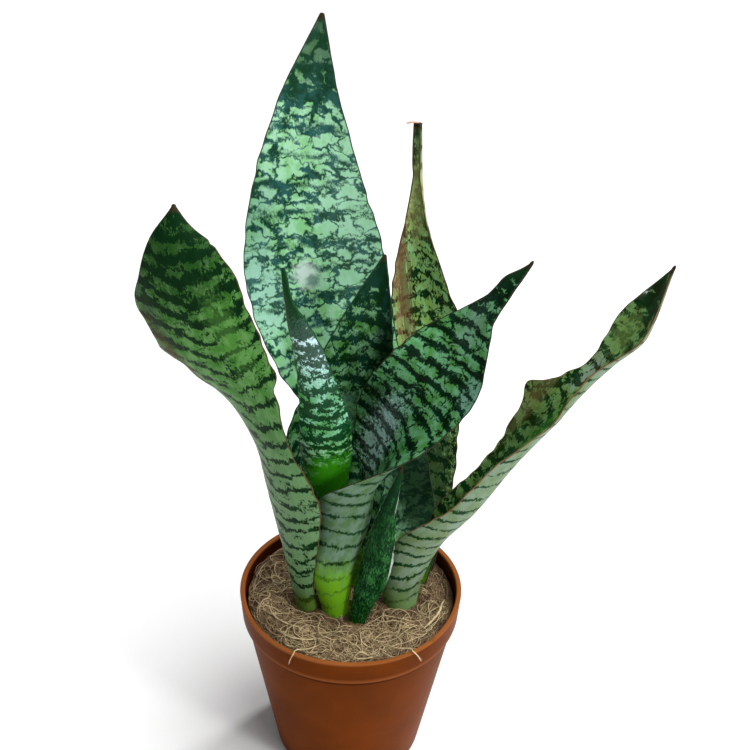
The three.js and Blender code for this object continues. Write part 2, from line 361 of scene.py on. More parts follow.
def specklesGroup():
    # dust, soil crumbs or hard-water spots
    inputs = {"Vector": None, "Size": 1, "Amount": 0.2, "Seed": 0}
    group, get, put = newGroup("speckles", inputs, ["Speckles"])
    move = addNode(group, "ShaderNodeVectorMath", {0: get["Vector"], 1: vector(group, get["Seed"], 0, 0)})
    scale = over(group, 1000, get["Size"])
    fine = noiseAt(group, move.outputs[0], scale, 2, 0.7)
    wide = noiseAt(group, move.outputs[0], over(group, scale, 9), 3, 0.6)
    level = plus(group, times(group, fine, 0.62), times(group, wide, 0.38))
    start = minus(group, 0.72, times(group, get["Amount"], 0.4))
    group.links.new(ease(group, level, start, plus(group, start, 0.07)), put["Speckles"])
    return group


def mottleGroup():
    # broad uneven tone with a fine grain in it
    inputs = {"Vector": None, "Size": 20, "Grain": 1, "Seed": 0}
    group, get, put = newGroup("mottle", inputs, ["Tone", "Grain"])
    move = addNode(group, "ShaderNodeVectorMath", {0: get["Vector"], 1: vector(group, 0, get["Seed"], 0)})
    wide = noiseAt(group, move.outputs[0], over(group, 1000, get["Size"]), 4, 0.55, 0.3)
    fine = noiseAt(group, move.outputs[0], over(group, 1000, get["Grain"]), 3, 0.6)
    group.links.new(ease(group, wide, 0.32, 0.68), put["Tone"])
    group.links.new(fine, put["Grain"])
    return group


leafBands = leafBandsGroup()
streaks = streaksGroup()
leafZones = leafZonesGroup()
zone = zoneGroup()
speckles = specklesGroup()
mottle = mottleGroup()
print("stage: node groups built")


def newPiece(name, points, faces, material, smooth=True, values=None):
    mesh = bpy.data.meshes.new(name)
    mesh.from_pydata((np.asarray(points) * mm).tolist(), [], faces)
    for key, numbers in (values or {}).items():
        layer = mesh.attributes.new(key, "FLOAT", "POINT")
        layer.data.foreach_set("value", np.asarray(numbers, np.float32).ravel())
    mesh.materials.append(material)
    mesh.validate()
    mesh.polygons.foreach_set("use_smooth", [smooth] * len(mesh.polygons))
    piece = bpy.data.objects.new(name, mesh)
    bpy.context.collection.objects.link(piece)
    return piece


def sharpen(piece, degrees):
    # edges that turn more than this stay crisp
    work = bmesh.new()
    work.from_mesh(piece.data)
    limit = math.radians(degrees)
    for edge in work.edges:
        edge.smooth = edge.calc_face_angle(math.pi) < limit
    work.to_mesh(piece.data)
    work.free()


def ringFaces(rings, size, start=0):
    faces = []
    for i in range(rings - 1):
        row = start + i * size
        for j in range(size):
            k = (j + 1) % size
            faces.append((row + j, row + k, row + size + k, row + size + j))
    return faces


def closedFaces(rings, size, start=0, flip=False):
    # a stack of rings with a face over each end; flip where the rings run the other way round
    faces = ringFaces(rings, size, start)
    last = start + (rings - 1) * size
    faces.append(tuple(start + j for j in reversed(range(size))))
    faces.append(tuple(last + j for j in range(size)))
    return [face[::-1] for face in faces] if flip else faces


def through(values, t):
    # smooth value at t, from 0 to 1, through evenly spaced values
    values = np.asarray(values, float)
    last = len(values) - 1
    spot = np.clip(t, 0, 1) * last
    i = np.minimum(np.floor(spot).astype(int), last - 1)
    f = spot - i
    a, b = values[i], values[i + 1]
    before = values[np.maximum(i - 1, 0)]
    after = values[np.minimum(i + 2, last)]
    slopeA = np.where(i > 0, (b - before) / 2, b - a)
    slopeB = np.where(i + 2 <= last, (after - a) / 2, b - a)
    bend = 3 * (b - a) - 2 * slopeA - slopeB
    return a + f * (slopeA + f * (bend + f * (slopeA + slopeB - 2 * (b - a))))


def smoothPath(points, count):
    # points and directions evenly spaced along a smooth curve, and its length
    knots = np.asarray(points, float)
    knots = np.vstack([2 * knots[0] - knots[1], knots, 2 * knots[-1] - knots[-2]])

    def at(t):
        spot = np.clip(t, 0, 1) * (len(points) - 1)
        i = np.minimum(np.floor(spot).astype(int), len(points) - 2)
        f = (spot - i)[:, None]
        p0, p1, p2, p3 = knots[i], knots[i + 1], knots[i + 2], knots[i + 3]
        m1, m2 = (p2 - p0) / 2, (p3 - p1) / 2
        square, cube = f * f, f * f * f
        return (
            (2 * cube - 3 * square + 1) * p1
            + (cube - 2 * square + f) * m1
            + (3 * square - 2 * cube) * p2
            + (cube - square) * m2
        )

    fine = np.linspace(0, 1, 801)
    steps = np.linalg.norm(np.diff(at(fine), axis=0), axis=1)
    run = np.concatenate([[0], np.cumsum(steps)])
    t = np.interp(np.linspace(0, run[-1], count), run, fine)
    ahead = at(np.minimum(t + 0.0005, 1)) - at(np.maximum(t - 0.0005, 0))
    return at(t), ahead / np.linalg.norm(ahead, axis=1)[:, None], run[-1]


def tubes(paths, radii, sides):
    # many thin tubes in one mesh: paths is [tube, point, xyz], radii is [tube, point]
    count, length = paths.shape[:2]
    along = np.gradient(paths, axis=1)
    along /= np.linalg.norm(along, axis=2)[..., None] + 1e-9
    side = np.cross(along, np.array([0.31, 0.22, 0.93]))
    side /= np.linalg.norm(side, axis=2)[..., None] + 1e-9
    up = np.cross(side, along)
    turn = np.linspace(0, 2 * np.pi, sides, endpoint=False)
    circle = side[:, :, None] * np.cos(turn)[:, None] + up[:, :, None] * np.sin(turn)[:, None]
    points = paths[:, :, None] + circle * radii[:, :, None, None]
    faces = []
    for i in range(count):
        faces += closedFaces(length, sides, i * length * sides)
    return points.reshape(-1, 3), faces


pot = {
    "height": 98,
    "sides": 224,
    "oval": 0.28,  # how far the lip is out of round, how wavy it is, and how uneven in height
    "wavy": 0.16,
    "uneven": 0.22,
    "nick": {"at": 318, "width": 0.035, "depth": 0.5},  # a dent in the lip, at a compass direction
    "crisp": 40,  # edges sharper than this many degrees stay crisp
    "holes": {"count": 8, "ring": 28, "radius": 3.5},
    "colour": "#703202",
    "deepColour": "#5e2901",
    # amount and tint of each layer, laid in this order
    "layers": {
        "grain": (0.22, "#84420c"),
        # painted highlight: the up-facing top of the lip is lighter
        "lip": (0.75, "#9c5c30"),
        "scuffs": (0.28, "#946040"),
        # painted shade in the step below the collar
        "stepShade": (0.85, "#381400"),
        # painted highlight along the collar's lower edge
        "collar": (0.45, "#a05c30"),
        # painted shade on the inner wall above the mix
        "inner": (0.75, "#30100a"),
        "dust": (0.4, "#6b5138"),
    },
    "rough": 0.32,
    "shine": 0.02,
}

potOutline = [
    # radius, height, rounding
    [0, 0.6, 0],
    [24, 0.6, 0.5],
    [25, 0, 0.4],
    [37, 0, 0.5],
    [38, 1, 0.8],
    [52.2, 82.6, 0.6],
    [51.9, 84.3, 0.4],
    [52.2, 84.9, 0.2],
    [54.1, 84.9, 0.7],
    [54.9, 96.9, 0.4],
    [55.1, 98.1, 0.7],
    [52.7, 98.0, 0.7],
    [52.35, 96.8, 0.3],
    [52.2, 87, 0.6],
    [51.2, 84.6, 0.6],
    [36.6, 1.8, 1.2],
    [0, 1.8, 0],
]


def roundedOutline(outline, steps=4):
    points = []
    for i, (radius, height, rounding) in enumerate(outline):
        here = np.array([radius, height], float)
        if rounding == 0:
            points.append(here)
            continue
        before = np.array(outline[i - 1][:2], float) - here
        after = np.array(outline[i + 1][:2], float) - here
        reach = min(rounding, np.linalg.norm(before) / 2.2, np.linalg.norm(after) / 2.2)
        start = here + before / np.linalg.norm(before) * reach
        end = here + after / np.linalg.norm(after) * reach
        for t in np.linspace(0, 1, steps + 1):
            points.append((1 - t) ** 2 * start + 2 * t * (1 - t) * here + t * t * end)
    return points


def potMaterial():
    material, tree, shader = newMaterial("potPlastic")
    where = objectPlace(tree)
    tone = useGroup(tree, mottle, {"Vector": where, "Size": 38, "Grain": 0.7, "Seed": 0.3})
    scuff = useGroup(tree, speckles, {"Vector": where, "Size": 1.1, "Amount": 0.14, "Seed": 1.7})
    soil = useGroup(tree, speckles, {"Vector": where, "Size": 0.7, "Amount": 0.16, "Seed": 5.1})
    parts = addNode(tree, "ShaderNodeSeparateXYZ", {"Vector": where}).outputs
    height = parts["Z"]
    level = vector(tree, parts["X"], parts["Y"])
    radius = addNode(tree, "ShaderNodeVectorMath", {0: level}, operation="LENGTH").outputs["Value"]
    # places on the pot are in metres here, from its axis and from the table
    within = times(tree, ease(tree, radius, 0.0529, 0.0525), ease(tree, height, 0.0978, 0.0962))
    masks = {
        "grain": tone["Grain"],
        # painted highlight on the up-facing top of the lip
        "lip": ease(tree, height, 0.0966, 0.0979),
        "scuffs": scuff["Speckles"],
        # painted shade darkens the step below the collar, and a painted highlight lightens the collar's
        # lower edge
        "stepShade": between(tree, height, 0.0812, 0.0838, 0.0848, 0.0856),
        "collar": between(tree, height, 0.085, 0.0856, 0.086, 0.0882),
        # painted shade darkens the inner wall above the mix
        "inner": times(tree, within, ease(tree, height, 0.0852, 0.0858)),
        # soil dust thins out down the wall
        "dust": times(tree, soil["Speckles"], ease(tree, height, 0.05, 0.098)),
    }
    body = blendColour(tree, tone["Tone"], pot["deepColour"], pot["colour"])
    for key, (amount, tint) in pot["layers"].items():
        body = tinted(tree, body, masks[key], amount, tint)
    scuffed = times(tree, scuff["Speckles"], 0.14)
    rough = plus(tree, times(tree, tone["Grain"], 0.22), pot["rough"], scuffed)
    # faint turned lines from the mould
    rings = noiseAt(tree, vector(tree, 0, 0, times(tree, height, 900)), 1, 3, 0.6)
    relief = plus(tree, times(tree, rings, 0.5), tone["Grain"])
    wireSkin(tree, shader, body, rough, relief, 0.22, 0.25)
    shader.inputs["Specular IOR Level"].default_value = pot["shine"]
    return material


def drillHoles(piece):
    # the drain holes round the base, cut in one go
    holes = pot["holes"]
    cutter = bmesh.new()
    for i in range(holes["count"]):
        angle = 2 * math.pi * (i + 0.5) / holes["count"]
        spot = Vector((holes["ring"] * math.cos(angle), holes["ring"] * math.sin(angle), 1)) * mm
        bmesh.ops.create_cone(
            cutter, cap_ends=True, segments=32, radius1=holes["radius"] * mm,
            radius2=holes["radius"] * mm, depth=8 * mm, matrix=Matrix.Translation(spot),
        )
    drills = bpy.data.meshes.new("drills")
    cutter.to_mesh(drills)
    cutter.free()
    tool = bpy.data.objects.new("drills", drills)
    bpy.context.collection.objects.link(tool)
    cut = piece.modifiers.new("holes", "BOOLEAN")
    cut.object = tool
    cut.solver = "EXACT"
    bpy.context.view_layer.update()
    carved = piece.evaluated_get(bpy.context.evaluated_depsgraph_get())
    mesh = bpy.data.meshes.new_from_object(carved)
    piece.modifiers.clear()
    piece.data = mesh
    bpy.data.objects.remove(tool)


def makePot():
    outline = roundedOutline(potOutline)
    sides = pot["sides"]
    turn = np.linspace(0, 2 * np.pi, sides, endpoint=False)
    nick = pot["nick"]
    dent = nick["depth"] * np.exp(-(((turn - math.radians(nick["at"])) / nick["width"]) ** 2))
    points = []
    for radius, height in outline[1:-1]:
        soft = (height / pot["height"]) ** 3  # the thin wall is least round at the lip
        out = radius + soft * (pot["oval"] * np.sin(2 * turn + 0.7) + pot["wavy"] * np.sin(5 * turn))
        lift = height + soft * pot["uneven"] * np.sin(3 * turn + 1.2)
        if height > 97:
            lift = lift - dent
        points.append(np.stack([out * np.cos(turn), out * np.sin(turn), lift], 1))
    rings = len(points)
    faces = ringFaces(rings, sides)
    # the two sides of the base close on their middles
    low, high = rings * sides, rings * sides + 1
    points = np.vstack([*points, [0, 0, outline[0][1]], [0, 0, outline[-1][1]]])
    last = (rings - 1) * sides
    for j in range(sides):
        k = (j + 1) % sides
        faces.append((low, k, j))
        faces.append((last + j, last + k, high))
    piece = newPiece("pot_shell", points, faces, potMaterial())
    drillHoles(piece)
    sharpen(piece, pot["crisp"])
    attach(piece, "root")
    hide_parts("pot")


makePot()
print("stage: pot made")

leafSkin = {
    "innerLight": "#7fc096",
    "innerDeep": "#5a9a5c",
    "innerBand": "#1d4238",
    "innerBandDeep": "#12311d",
    # spacing, share, teeth, wander, (slant left, slant right), patches, net
    "innerBands": (11.5, 0.3, 9, 14, (0, 0), 1.6, 0.9),
    "outerLight": "#93b294",
    "outerDeep": "#6f9a68",
    "outerBand": "#16381f",
    "outerBandDeep": "#0e2a14",
    "outerBands": (9, 0.2, 6, 8, (0.15, 0.15), 0.9, 0.2),
    "lowGround": ("#8fa890", 0, 1),  # tint of the lower blade, and where it ends and starts to fade in
    "foot": ("#6fa324", 26),
    "tip": ("#12301d", 20),
    "crowd": (34, 8, 0.5),  # from the tip: where bands start to crowd, where most, and how much
    "soft": 0.09,
    "cloud": (8, 6.5),  # width and height of the light clouds
    "line": ("#5c4430", 0.3),
    "point": "#3a3020",
    "rough": 0.3,
    "shine": 0.05,
    "dust": ("#c9d8cc", 0.1),
    "cover": {"low": 0.85, "streaks": 0.28, "dust": 0.35},  # the most that each lays over the leaf
    "matting": {"streaks": 0.16, "dust": 0.25, "zones": 0.3},  # what each adds to the roughness
    "relief": (0.35, 0.2),  # strength, and depth in millimetres
    "streakWidth": 0.55,
    # kind, tint, amount, across, along, half width, half length, flecks
    "zones": [],
}

fleckKinds = {
    # width and length of the flecks, how much the bands hold them back, inner face only
    # painted highlight
    "paintedGloss": (1.9, 0.8, 0.9, False),
    # painted sheen: a pale or bluish painted reflection
    "paintedSheen": (0.8, 0.8, 0.93, False),
    # painted glints: flecked painted highlights on the inner face
    "paintedGlints": (1.5, 1.0, 0.9, True),
    # round spots: a painted highlight spot and the darker mark at its middle
    "spot": (2.5, 2.5, 0, True),
    # the leaf's own tints, and painted shade on parts of blades that lie in shade
    "tintAndShade": (1.6, 2.0, 0, False),
    "inside": (1.6, 2.0, 0.4, True),
    "streak": (0.6, 14, 0, False),
}


def leafMaterial(name, plan, seed):
    skin = {**leafSkin, **plan["skin"]}
    material, tree, shader = newMaterial(name + "Skin")
    place = {"Across": attribute(tree, "acrossLeaf"), "Along": attribute(tree, "alongLeaf")}
    inside = attribute(tree, "innerFace")
    toTip = attribute(tree, "toTip")
    lines = useGroup(tree, streaks, {**place, "Width": skin["streakWidth"], "Seed": seed})
    cover, matting = skin["cover"], skin["matting"]

    def faceColour(side, sideSeed):
        light, deep = skin[side + "Light"], skin[side + "Deep"]
        spacing, share, teeth, wander, slant, patches, net = skin[side + "Bands"]
        lowTint, lowEnd, lowStart = skin["lowGround"]
        start, full, amount = skin["crowd"]
        crowd = times(tree, ease(tree, toTip, start, full), amount)
        inputs = {
            **place,
            "Spacing": spacing,
            "Share": plus(tree, crowd, share),
            "Teeth": teeth,
            "Wander": wander,
            "Slant left": slant[0],
            "Slant right": slant[1],
            "Patches": patches,
            "Net": net,
            "Soft": skin["soft"],
            "Cloud width": skin["cloud"][0],
            "Cloud height": skin["cloud"][1],
            "Seed": sideSeed,
        }
        mask = useGroup(tree, leafBands, inputs)
        ground = blendColour(tree, mask["Tone"], deep, light)
        lowPart = ease(tree, place["Along"], lowStart, lowEnd)
        ground = tinted(tree, ground, lowPart, cover["low"], lowTint)
        ground = tinted(tree, ground, lines["Streaks"], cover["streaks"], deep)
        dark = blendColour(tree, mask["Tone"], skin[side + "BandDeep"], skin[side + "Band"])
        return blendColour(tree, mask["Bands"], ground, dark), mask["Bands"]

    inner, innerMask = faceColour("inner", seed)
    outer, outerMask = faceColour("outer", seed + 3.3)
    body = blendColour(tree, inside, outer, inner)
    bands = addNode(tree, "ShaderNodeMix", {0: inside, 2: outerMask, 3: innerMask}).outputs[0]
    inputs = {
        **place,
        "To tip": toTip,
        "To edge": attribute(tree, "toEdge"),
        "Foot": skin["foot"][1] + 13,
        "Tip": skin["tip"][1],
        "Line": skin["line"][1],
        "Seed": seed,
    }
    zones = useGroup(tree, leafZones, inputs)
    # a fresh foot shows its bands only faintly
    pale = minus(tree, 1, times(tree, bands, 0.45))
    body = blendColour(tree, times(tree, zones["Foot"], pale), body, skin["foot"][0])
    body = blendColour(tree, zones["Tip"], body, skin["tip"][0])
    matt = 0.0
    for i, (kind, tint, amount, x, y, halfWidth, halfLength, flecks) in enumerate(skin["zones"]):
        fleckWidth, fleckLength, heldBack, innerOnly = fleckKinds[kind]
        inputs = {
            **place,
            "Centre across": x,
            "Centre along": y,
            "Half width": halfWidth,
            "Half length": halfLength,
            "Flecks": flecks,
            "Fleck width": fleckWidth,
            "Fleck length": fleckLength,
            "Seed": seed + i,
        }
        area = useGroup(tree, zone, inputs)
        free = minus(tree, 1, times(tree, bands, heldBack))
        patch = times(tree, area["Zone"], free, amount)
        if innerOnly:
            patch = times(tree, patch, inside)
        body = blendColour(tree, patch, body, tint)
        matt = plus(tree, matt, times(tree, patch, matting["zones"]))
    dustTint, dustAmount = skin["dust"]
    inputs = {"Vector": objectPlace(tree), "Size": 0.8, "Amount": dustAmount, "Seed": seed}
    dust = useGroup(tree, speckles, inputs)
    body = tinted(tree, body, dust["Speckles"], cover["dust"], dustTint)
    body = blendColour(tree, zones["Line"], body, skin["line"][0])
    body = blendColour(tree, zones["Point"], body, skin["point"])
    streaky = times(tree, lines["Streaks"], matting["streaks"])
    dusty = times(tree, dust["Speckles"], matting["dust"])
    rough = plus(tree, streaky, dusty, matt, skin["rough"])
    relief = minus(tree, lines["Height"], times(tree, bands, 0.35))
    wireSkin(tree, shader, body, rough, relief, *skin["relief"])
    shader.inputs["Specular IOR Level"].default_value = skin["shine"]
    return material


blade = {
    "rings": 170,
    "columns": 13,  # from the midrib to a margin
    "edge": 0.27,  # half the thickness of a margin
    "swell": 0.5,  # slow swells over the whole blade
    "wobble": 0.45,  # how far a margin wavers
}


def waver(u, often, slowly, shift, slowShift):
    # quick waves that come and go with slow ones
    quick = np.sin(2 * np.pi * (often * u + shift))
    return quick * np.sin(2 * np.pi * (slowly * u + slowShift))


def leafWidths(plan, u):
    widths = []
    for side, key in ((-1, "left"), (1, "right")):
        shift = 0.13 * plan["spine"][0][0] + 0.3 * side
        dents = waver(u, 17, 5.3, shift, 2 * shift) + 0.5 * waver(u, 29, 3.1, 3 * shift, shift)
        width = through(plan[key], u) + blade["wobble"] * dents * np.sin(np.pi * u)
        for spot, which, depth, reach in plan.get("nicks", []):
            if which == side:
                width = width - depth * np.exp(-(((u - spot) / reach) ** 2))
        widths.append(np.maximum(width, 0.4))
    return widths


def leafPoints(plan, u, v, offset):
    # u runs up the leaf, v from margin to margin, offset from the middle of the blade
    centre, along = plan["path"][:2]
    faces = np.radians(through(plan["faces"], u))
    left, right = leafWidths(plan, u)
    look = np.stack([np.cos(faces), np.sin(faces), np.zeros_like(u)], 1)
    inward = look - along * np.sum(look * along, 1)[:, None]
    inward /= np.linalg.norm(inward, axis=1)[:, None]
    across = np.cross(along, inward)
    radius = ((left + right) / np.radians(through(plan["cup"], u)))[:, None]
    turn = v * np.where(v < 0, left[:, None], right[:, None]) / radius
    ruffle = np.zeros_like(v)
    for side, (height, waves, phase) in zip((-1, 1), plan["ruffle"]):
        wave = height * np.sin(np.pi * u) ** 2 * np.sin(2 * np.pi * (waves * u + phase))
        ruffle += np.where(v * side > 0, wave[:, None] * v * v, 0)
    out = (radius - offset) * np.sin(turn)
    up = radius - (radius - offset) * np.cos(turn) + ruffle
    return centre[:, None] + across[:, None] * out[..., None] + inward[:, None] * up[..., None]


def makeLeaf(name, plan, seed):
    steps, edge = blade["rings"], blade["edge"]
    u = np.linspace(0, 1, steps)
    plan["path"] = smoothPath(plan["spine"], steps)
    length = plan["path"][2]
    left, right = leafWidths(plan, u)
    flat = np.linspace(-1, 1, 2 * blade["columns"] + 1)
    bevel = np.radians([30, 65, 90, 115, 150])
    # one ring: inner face, right margin, outer face back, left margin
    base = np.concatenate([flat, np.ones(5), flat[::-1], -np.ones(5)])
    beyond = np.concatenate([0 * flat, np.sin(bevel), 0 * flat, -np.sin(bevel)])
    face = np.concatenate([1 + 0 * flat, np.cos(bevel), -1 + 0 * flat, -np.cos(bevel)])
    widths = np.where(base[None] < 0, left[:, None], right[:, None])
    middle = plan["thickness"] * (1 + 0.5 * (1 - u) ** 4) * (1 - 0.55 * u**4)
    share = 1 - np.abs(base) ** 2.2
    halfThick = (2 * edge + (middle[:, None] - 2 * edge) * share[None]) / 2
    v = base[None] + beyond[None] * edge / widths
    points = leafPoints(plan, u, v, face[None] * halfThick)
    for i in range(steps):
        spot = Vector((0.05 * length * u[i], seed, 0.3))
        swell = blade["swell"] * math.sin(math.pi * u[i]) * noise.noise(spot)
        points[i] += swell * np.array([1, 1, 0])
    size = len(base)
    # the tip closes in a small horny point
    along = plan["path"][1][-1]
    heart = points[-1].mean(0)
    caps = []
    for t in np.linspace(0.2, 0.98, 6):
        drawnIn = (points[-1] - heart) * math.sqrt(1 - t * t)
        caps.append(heart + drawnIn + along * plan.get("point", 1.2) * t)
    points = np.concatenate([points, np.array(caps)])
    rings = steps + len(caps)
    u = np.concatenate([u, np.ones(len(caps))])
    widths = np.concatenate([widths, np.repeat(widths[-1:], len(caps), 0)])
    values = {
        "alongLeaf": np.repeat((u * length)[:, None], size, 1),
        "acrossLeaf": base[None] * widths,
        "innerFace": np.repeat((face > 0).astype(float)[None], rings, 0),
        "toEdge": np.where(beyond[None] != 0, 0, (1 - np.abs(base[None])) * widths),
        "toTip": np.repeat(((1 - u) * length)[:, None], size, 1),
    }
    faces = closedFaces(rings, size, flip=True)
    material = leafMaterial(name, plan, seed)
    piece = newPiece(name + "_blade", points.reshape(-1, 3), faces, material, values=values)
    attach(piece, "root")
    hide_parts(name)
    return points[:14]  # the foot, where the soil meets the leaf


# each leaf, in millimetres
# spine: what the midrib passes through
# left, right: midrib to margin, from foot to tip, seen from inside
# faces: compass direction of the inner face; cup: arc of the cross-section in degrees
# ruffle: height, waves and phase of the left and right margin
# nicks: how far up (0 to 1), side (-1 left, 1 right), depth and reach along of each dent or bulge
# point: length of the horny tip

leafTall = {
    "spine": [
        [28, 12, 79], [28, 17, 122], [10, 27, 171], [-13, 38, 223], [-24, 43, 278], [-24, 44, 327],
        [-18, 41, 370],
    ],
    "left": [8, 12, 15, 22, 31, 32.5, 23.5, 13, 0.8],
    "right": [8, 14, 20, 26, 30, 33, 26.5, 14.5, 0.8],
    "faces": [285, 280, 272, 268],
    "cup": [120, 80, 45, 36, 40, 60],
    "ruffle": [[1, 2.5, 0.1], [1, 2.2, 0.6]],
    "thickness": 3,
    "point": 0.4,
    "skin": {
        "innerLight": "#bef8ce",
        "innerDeep": "#98e29a",
        "innerBand": "#326a64",
        "innerBandDeep": "#174630",
        "innerBands": (13.5, 0.2, 4, 14, (0, 0), 1.35, 1.08),
        "soft": 0.2,
        "cloud": (12, 7),
        "tip": ("#12371f", 3),
        "crowd": (42, 36, 0.22),
        "line": ("#3c4a38", 0.3),
        "zones": [
            ("tintAndShade", "#1b4327", 0.78, -2, 298, 36, 38, 0.25),
            # the next six zones are painted highlights and reflections: pale and bluish sheen, and a
            # painted highlight spot with a darker middle
            ("paintedGloss", "#c2fadc", 0.55, 20, 205, 22, 66, 0.15),
            ("paintedSheen", "#3c7a72", 0.35, -26, 215, 10, 40, 0.4),
            ("paintedGloss", "#b6ecdc", 0.7, -26, 180, 12, 26, 0.3),
            ("paintedSheen", "#a6d4c8", 0.4, -17, 222, 6, 8, 0.9),
            ("spot", "#e6fff4", 0.95, -5, 184, 7, 8.5, 0.25),
            ("spot", "#4d8674", 0.7, -2.5, 181, 4, 4, 0.3),
            # painted shade over the lower blade
            ("tintAndShade", "#1c3c24", 0.9, 12, 60, 26, 50, 0.2),
        ],
    },
}

leafLeft = {
    "spine": [
        [-20, -10, 79], [-25, -13, 118], [-33, -18, 171], [-45, -20, 217], [-64, -21, 256],
        [-74, -16, 286], [-75, -8, 304],
    ],
    "left": [7, 6, 13, 18, 15, 16, 21, 20, 0.8],
    "right": [8, 11, 16, 20, 26, 30.5, 31, 22, 0.8],
    "faces": [75, 55, 45, 75, 90],
    "cup": [100, 100, 75, 60, 50, 50],
    "ruffle": [[1.6, 2.6, 0.3], [1.6, 3.1, 0.8]],
    "thickness": 3,
    "nicks": [
        [0.69, 1, 4, 0.022], [0.745, 1, -1.6, 0.014], [0.85, 1, -3, 0.03], [0.65, -1, -2.8, 0.02],
        [0.625, -1, 1.2, 0.01], [0.79, -1, 1, 0.03], [0.94, -1, -3, 0.03], [0.93, -1, 1, 0.006],
    ],
    "skin": {
        "outerLight": "#6a9c58",
        "outerDeep": "#417d2c",
        "outerBand": "#0c3412",
        "outerBandDeep": "#04240a",
        "outerBands": (9.2, 0.29, 8, 10, (-0.2, -0.6), 1.5, 0.7),
        "cloud": (10, 6),
        "lowGround": ("#72906c", 70, 175),
        "foot": ("#64861e", 8),
        "tip": ("#0c2e18", 2),
        "crowd": (80, 25, 0.22),
        "line": ("#5c4a30", 0.32),
        "zones": [
            # painted shade over the upper blade
            ("tintAndShade", "#082c10", 0.72, 0, 230, 36, 52, 0.3),
            ("streak", "#5e4634", 0.6, 25, 168, 6, 34, 0.4),
            ("streak", "#2c3c24", 0.4, 21, 190, 8, 20, 0.5),
            ("tintAndShade", "#5f9a44", 0.3, -9, 178, 7, 26, 0.4),
            # painted highlight along the fold
            ("paintedGloss", "#5c6c66", 0.35, 22, 205, 5, 24, 0.8),
        ],
    },
}

leafYoung = {
    "spine": [
        [-9, -1, 79], [-11, -3, 122], [-12, -10, 168], [-13, -27, 216], [-18, -37, 255],
        [-25, -43, 282], [-28, -44, 296],
    ],
    "left": [4, 5.5, 8, 12, 12, 8, 3.5, 0.6],
    "right": [4, 5.5, 8, 12, 12, 9.5, 7, 0.6],
    "faces": [100, 95, 90, 85],
    "cup": [140, 110, 80, 70, 70],
    "ruffle": [[0.5, 2, 0.3], [0.5, 2, 0.8]],
    "thickness": 2.6,
    "point": 0.4,
    "nicks": [[0.93, -1, 1.5, 0.04]],
    "skin": {
        "outerLight": "#92d4b0",
        "outerDeep": "#4c9a50",
        "outerBand": "#0e4422",
        "outerBandDeep": "#083812",
        "outerBands": (8, 0.44, 8, 7, (0.1, 0.1), 1.9, 0.9),
        "cloud": (6, 4.5),
        "lowGround": ("#a2d4a6", 112, 130),
        "foot": ("#27780a", -40),
        "tip": ("#063a14", 22),
        "crowd": (40, 30, 0.5),
        "line": ("#1f4a26", 0.3),
        "point": "#0c3a18",
        "zones": [
            # painted highlights: the pale, flecked glare on the upper blade
            ("paintedSheen", "#d6f2fc", 0.97, -2, 184, 9, 17, 0.8),
            ("paintedGloss", "#a6dccc", 0.3, -2, 166, 9, 20, 0.6),
            ("tintAndShade", "#3a9a08", 0.97, -2, 94, 16, 24, 0.35),
        ],
    },
}

leafCentre = {
    "spine": [[-7, 8, 79], [-6, 13, 127], [-4, 18, 175], [1, 19, 219], [11, 16, 273]],
    "left": [8, 16, 29, 34, 23.5, 13, 0.8],
    "right": [8, 14, 20, 22, 19.5, 12, 0.8],
    "faces": [270, 270, 265],
    "cup": [120, 90, 90, 70],
    "ruffle": [[0.8, 2, 0.3], [0.8, 2, 0.8]],
    "thickness": 2.8,
    "skin": {
        "innerLight": "#86bc8c",
        "innerDeep": "#4c8640",
        "innerBand": "#124030",
        "innerBandDeep": "#06300f",
        "innerBands": (11, 0.38, 8, 14, (0.1, 0.1), 1.5, 0.9),
        "soft": 0.14,
        "tip": ("#063018", 8),
        "line": ("#2a4632", 0.3),
        "zones": [
            ("tintAndShade", "#042010", 0.85, 13, 160, 9, 64, 0.3),
            ("tintAndShade", "#84b890", 0.5, -3, 112, 9, 14, 0.6),
            # painted glints: pale along the left edge, bluish on the dark right part
            ("paintedGloss", "#7aa89a", 0.5, -16, 128, 5, 14, 0.9),
            ("paintedGloss", "#3a5c58", 0.5, 7, 168, 3, 22, 0.9),
        ],
    },
}

leafFront = {
    "spine": [
        [-5, -15, 79], [-4, -14, 118], [1, -12, 143], [9, -11, 167], [21, -9, 189], [34, -8, 208],
        [46, -7, 229], [57, -8, 256], [71, -10, 284],
    ],
    "left": [5, 11, 18, 24, 32, 33, 27, 10, 0.6],
    "right": [6, 14.5, 21, 24, 21, 16, 11, 2.2, 0.6],
    "faces": [115, 128, 124, 169, 201, 231, 217, 217],
    "cup": [180, 175, 165, 120, 79, 38, 62],
    "ruffle": [[1, 2, 0.3], [1, 2, 0.8]],
    "thickness": 3,
    "point": 2.4,
    "nicks": [[0.95, -1, -2, 0.03], [0.7, 1, -1, 0.04], [0.86, 1, 1, 0.03]],
    "skin": {
        "innerLight": "#74b486",
        "innerDeep": "#4f9046",
        "innerBand": "#0a2e1a",
        "innerBandDeep": "#031e08",
        "innerBands": (8.5, 0.38, 6, 10, (0, 0), 1.5, 0.8),
        "cloud": (8, 5),
        "soft": 0.14,
        "outerLight": "#708c78",
        "outerDeep": "#56784e",
        "outerBand": "#12401c",
        "outerBandDeep": "#0c3010",
        "foot": ("#72b01e", 28),
        "tip": ("#143a1c", 8),
        "line": ("#3a3a28", 0.25),
        "zones": [
            # painted highlights and reflections: bluish-white flecks low on the left, sheen at the right
            # edge and higher up
            ("paintedGlints", "#e2f8fc", 0.95, -17, 106, 10, 22, 0.8),
            ("paintedGloss", "#9cc8c4", 0.5, -15, 114, 9, 24, 0.6),
            ("paintedSheen", "#86a8b0", 0.45, 10, 158, 6, 10, 0.7),
            ("paintedGloss", "#86a89a", 0.5, -6, 185, 6, 14, 0.8),
            ("tintAndShade", "#04180a", 0.6, -26, 122, 7, 14, 0.5),
        ],
    },
}

